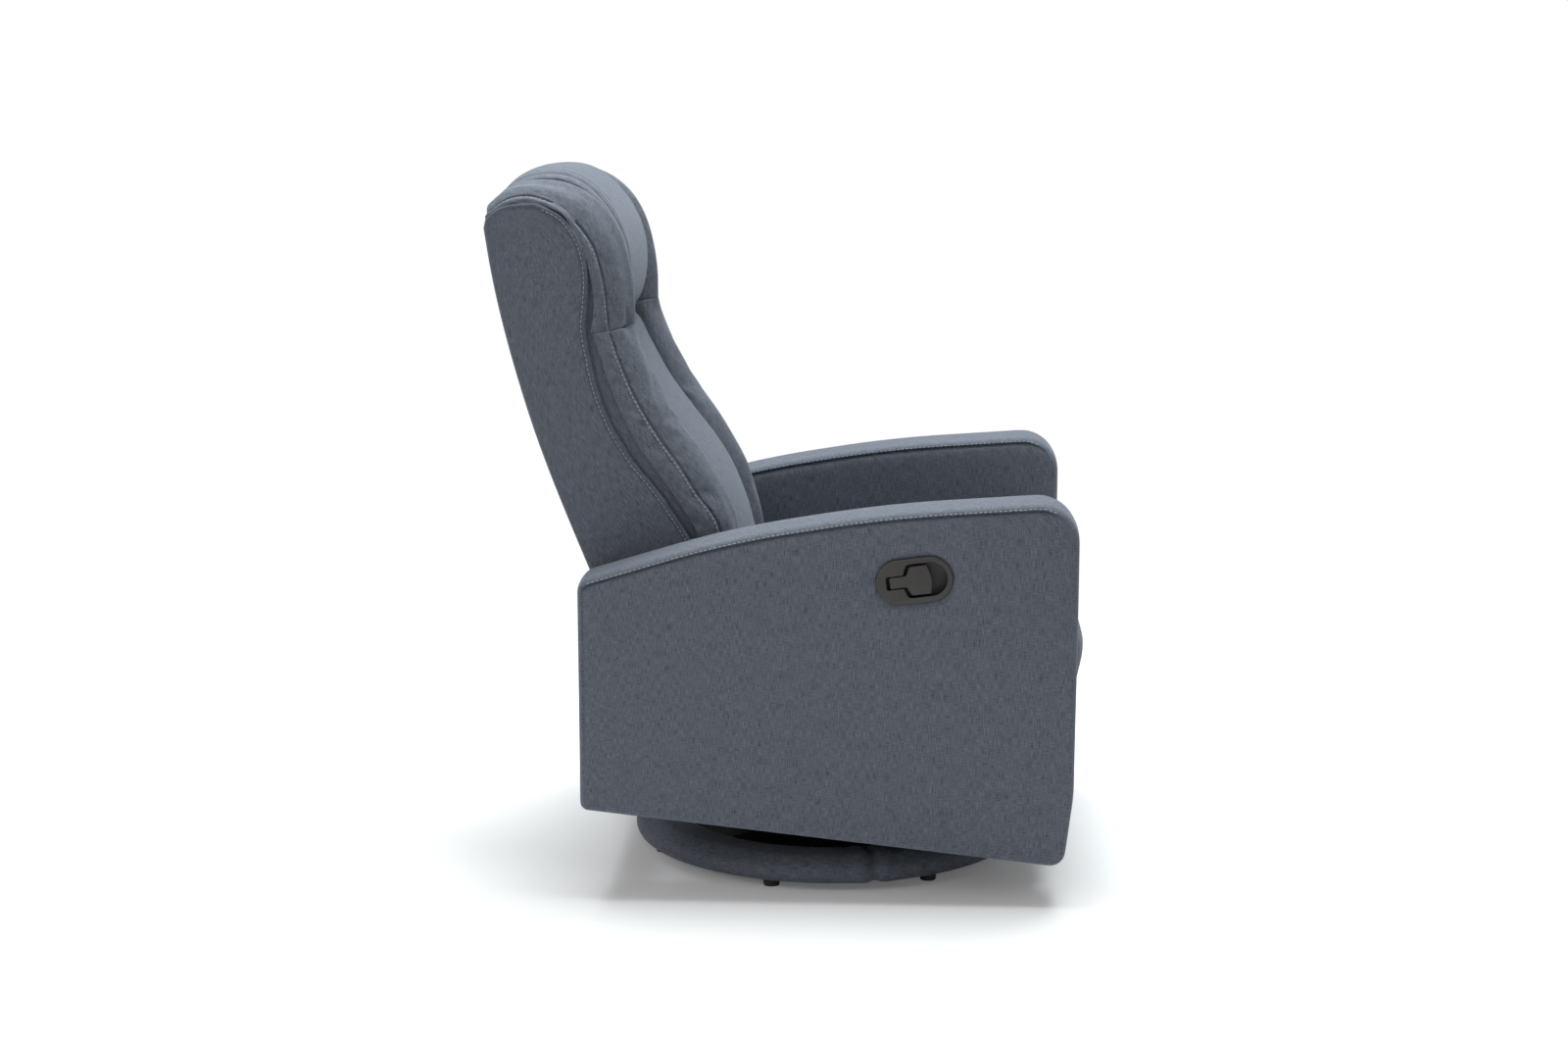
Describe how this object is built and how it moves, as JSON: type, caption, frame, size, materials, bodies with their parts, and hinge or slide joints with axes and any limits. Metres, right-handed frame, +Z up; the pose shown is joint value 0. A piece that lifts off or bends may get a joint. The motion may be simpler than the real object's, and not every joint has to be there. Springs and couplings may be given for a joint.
{
  "type": "swivel rocker recliner",
  "caption": "Upholstered recliner chair on a padded ring base: it turns and rocks, the back reclines with a sliding seat, and a pull tab frees a link-driven footrest.",
  "frame": {"origin": "on the floor, at the centre of the closed chair's footprint box; the turning axis stands 58 mm in front of it", "axes": "+X forward, +Y to the sitter's left, +Z up"},
  "size_m": [0.8934, 0.73, 1.0672],
  "materials": {
    "upholstery": "woven heathered blue-grey upholstery fabric",
    "hardwood": "raw plywood and hardwood",
    "handle_plastic": "satin dark moulded plastic",
    "foot_plastic": "black moulded plastic",
    "bright_steel": "zinc plated steel",
    "black_steel": "black powder coat",
    "cage_plastic": "natural nylon",
    "webbing": "elastic webbing",
    "cable_sheath": "black cable sheath"
  },
  "bodies": {
    "base": {"base_ring": "upholstery", "base_glides": "foot_plastic", "base_crossbars": "hardwood", "base_bolts": "bright_steel", "swivel_lower_plate": "black_steel", "swivel_pin": "bright_steel", "bearing_balls": "bright_steel", "bearing_cage": "cage_plastic"},
    "swivel": {"swivel_upper_plate": "black_steel", "rocker_rail_left": "black_steel", "rocker_rail_right": "black_steel", "rocker_springs": "bright_steel"},
    "chassis": {"rocker_cam_left": "black_steel", "rocker_cam_right": "black_steel", "side_frame_left": "black_steel", "side_frame_right": "black_steel", "cross_tube_front": "black_steel", "cross_tube_rear": "black_steel", "arm_frame_left": "hardwood", "arm_frame_right": "hardwood", "arm_cover_left": "upholstery", "arm_cover_right": "upholstery", "arm_bolts": "bright_steel", "rear_apron": "upholstery", "handle_bezel": "handle_plastic", "handle_cup": "handle_plastic", "handle_pin": "bright_steel", "release_cable": "cable_sheath"},
    "tab": {"pull_tab": "handle_plastic"},
    "lever": {"release_lever": "black_steel"},
    "seat": {"seat_frame": "hardwood", "seat_springs": "bright_steel", "seat_cushion": "upholstery", "seat_plate_left": "black_steel", "seat_plate_right": "black_steel", "seat_bolts": "bright_steel"},
    "lift_links": {"lift_link_left": "black_steel", "lift_link_right": "black_steel", "drive_tube": "black_steel"},
    "guide_links": {"guide_link_left": "black_steel", "guide_link_right": "black_steel"},
    "front_links": {"front_link_left": "black_steel", "front_link_right": "black_steel"},
    "tilt_links": {"tilt_link_left": "black_steel", "tilt_link_right": "black_steel"},
    "footrest": {"footrest_board": "hardwood", "footrest_pad": "upholstery", "footrest_bracket_left": "black_steel", "footrest_bracket_right": "black_steel"},
    "back": {"back_frame": "hardwood", "back_webbing": "webbing", "back_bracket_left": "black_steel", "back_bracket_right": "black_steel", "back_shell": "upholstery", "head_bolster_left": "upholstery", "head_bolster_right": "upholstery", "head_panel": "upholstery", "side_bolster_left": "upholstery", "side_bolster_right": "upholstery", "lumbar_panel": "upholstery"}
  },
  "joints": [
    {"name": "swivel_turn", "type": "hinge", "parent": "base", "child": "swivel", "pos_m": [0.058, 0, 0.0526], "axis": [0, 0, 1], "continuous": true},
    {"name": "rock", "type": "hinge", "parent": "swivel", "child": "chassis", "pos_m": [0.058, 0, 0.10965], "axis": [0, 1, 0], "range_deg": [-8, 5], "stiffness_Nm_per_rad": 1800, "deforming": ["rocker_springs"]},
    {"name": "seat_slide", "type": "slide", "parent": "chassis", "child": "seat", "axis": [1, 0, 0], "range_m": [0, 0.055]},
    {"name": "recline", "type": "hinge", "parent": "seat", "child": "back", "pos_m": [-0.12, 0, 0.375], "axis": [0, -1, 0], "range_deg": [0, 36]},
    {"name": "footrest_lift", "type": "hinge", "parent": "seat", "child": "lift_links", "pos_m": [0.266, 0, 0.309], "axis": [0, -1, 0], "range_deg": [0, 79]},
    {"name": "guide_swing", "type": "hinge", "parent": "seat", "child": "guide_links", "pos_m": [0.306, 0, 0.332], "axis": [0, -1, 0], "range_deg": [0, 79]},
    {"name": "front_link_swing", "type": "hinge", "parent": "lift_links", "child": "front_links", "pos_m": [0.20699, 0, 0.08877], "axis": [0, -1, 0], "range_deg": [-79, 0]},
    {"name": "footrest_swing", "type": "hinge", "parent": "front_links", "child": "footrest", "pos_m": [0.338, 0, 0.24], "axis": [0, -1, 0], "range_deg": [0, 79]},
    {"name": "tilt_link_swing", "type": "hinge", "parent": "guide_links", "child": "tilt_links", "pos_m": [0.25199, 0, 0.17177], "axis": [0, -1, 0], "range_deg": [-79, 0]},
    {"name": "tab_pull", "type": "hinge", "parent": "chassis", "child": "tab", "pos_m": [0.16027, -0.356, 0.49088], "axis": [0.1288, 0, -0.9917], "range_deg": [0, 35], "stiffness_Nm_per_rad": 0.6},
    {"name": "lever_swing", "type": "hinge", "parent": "chassis", "child": "lever", "pos_m": [0.19, -0.2557, 0.3], "axis": [0, 1, 0], "range_deg": [0, 17.5]}
  ],
  "couplings": [
    {"joint": "seat_slide", "follows": "recline", "m_per_rad": 0.08753},
    {"joint": "guide_swing", "follows": "footrest_lift", "ratio": 1},
    {"joint": "front_link_swing", "follows": "footrest_lift", "ratio": -1},
    {"joint": "footrest_swing", "follows": "footrest_lift", "ratio": 1},
    {"joint": "tilt_link_swing", "follows": "footrest_lift", "ratio": -1},
    {"joint": "lever_swing", "follows": "tab_pull", "ratio": 0.5}
  ]
}
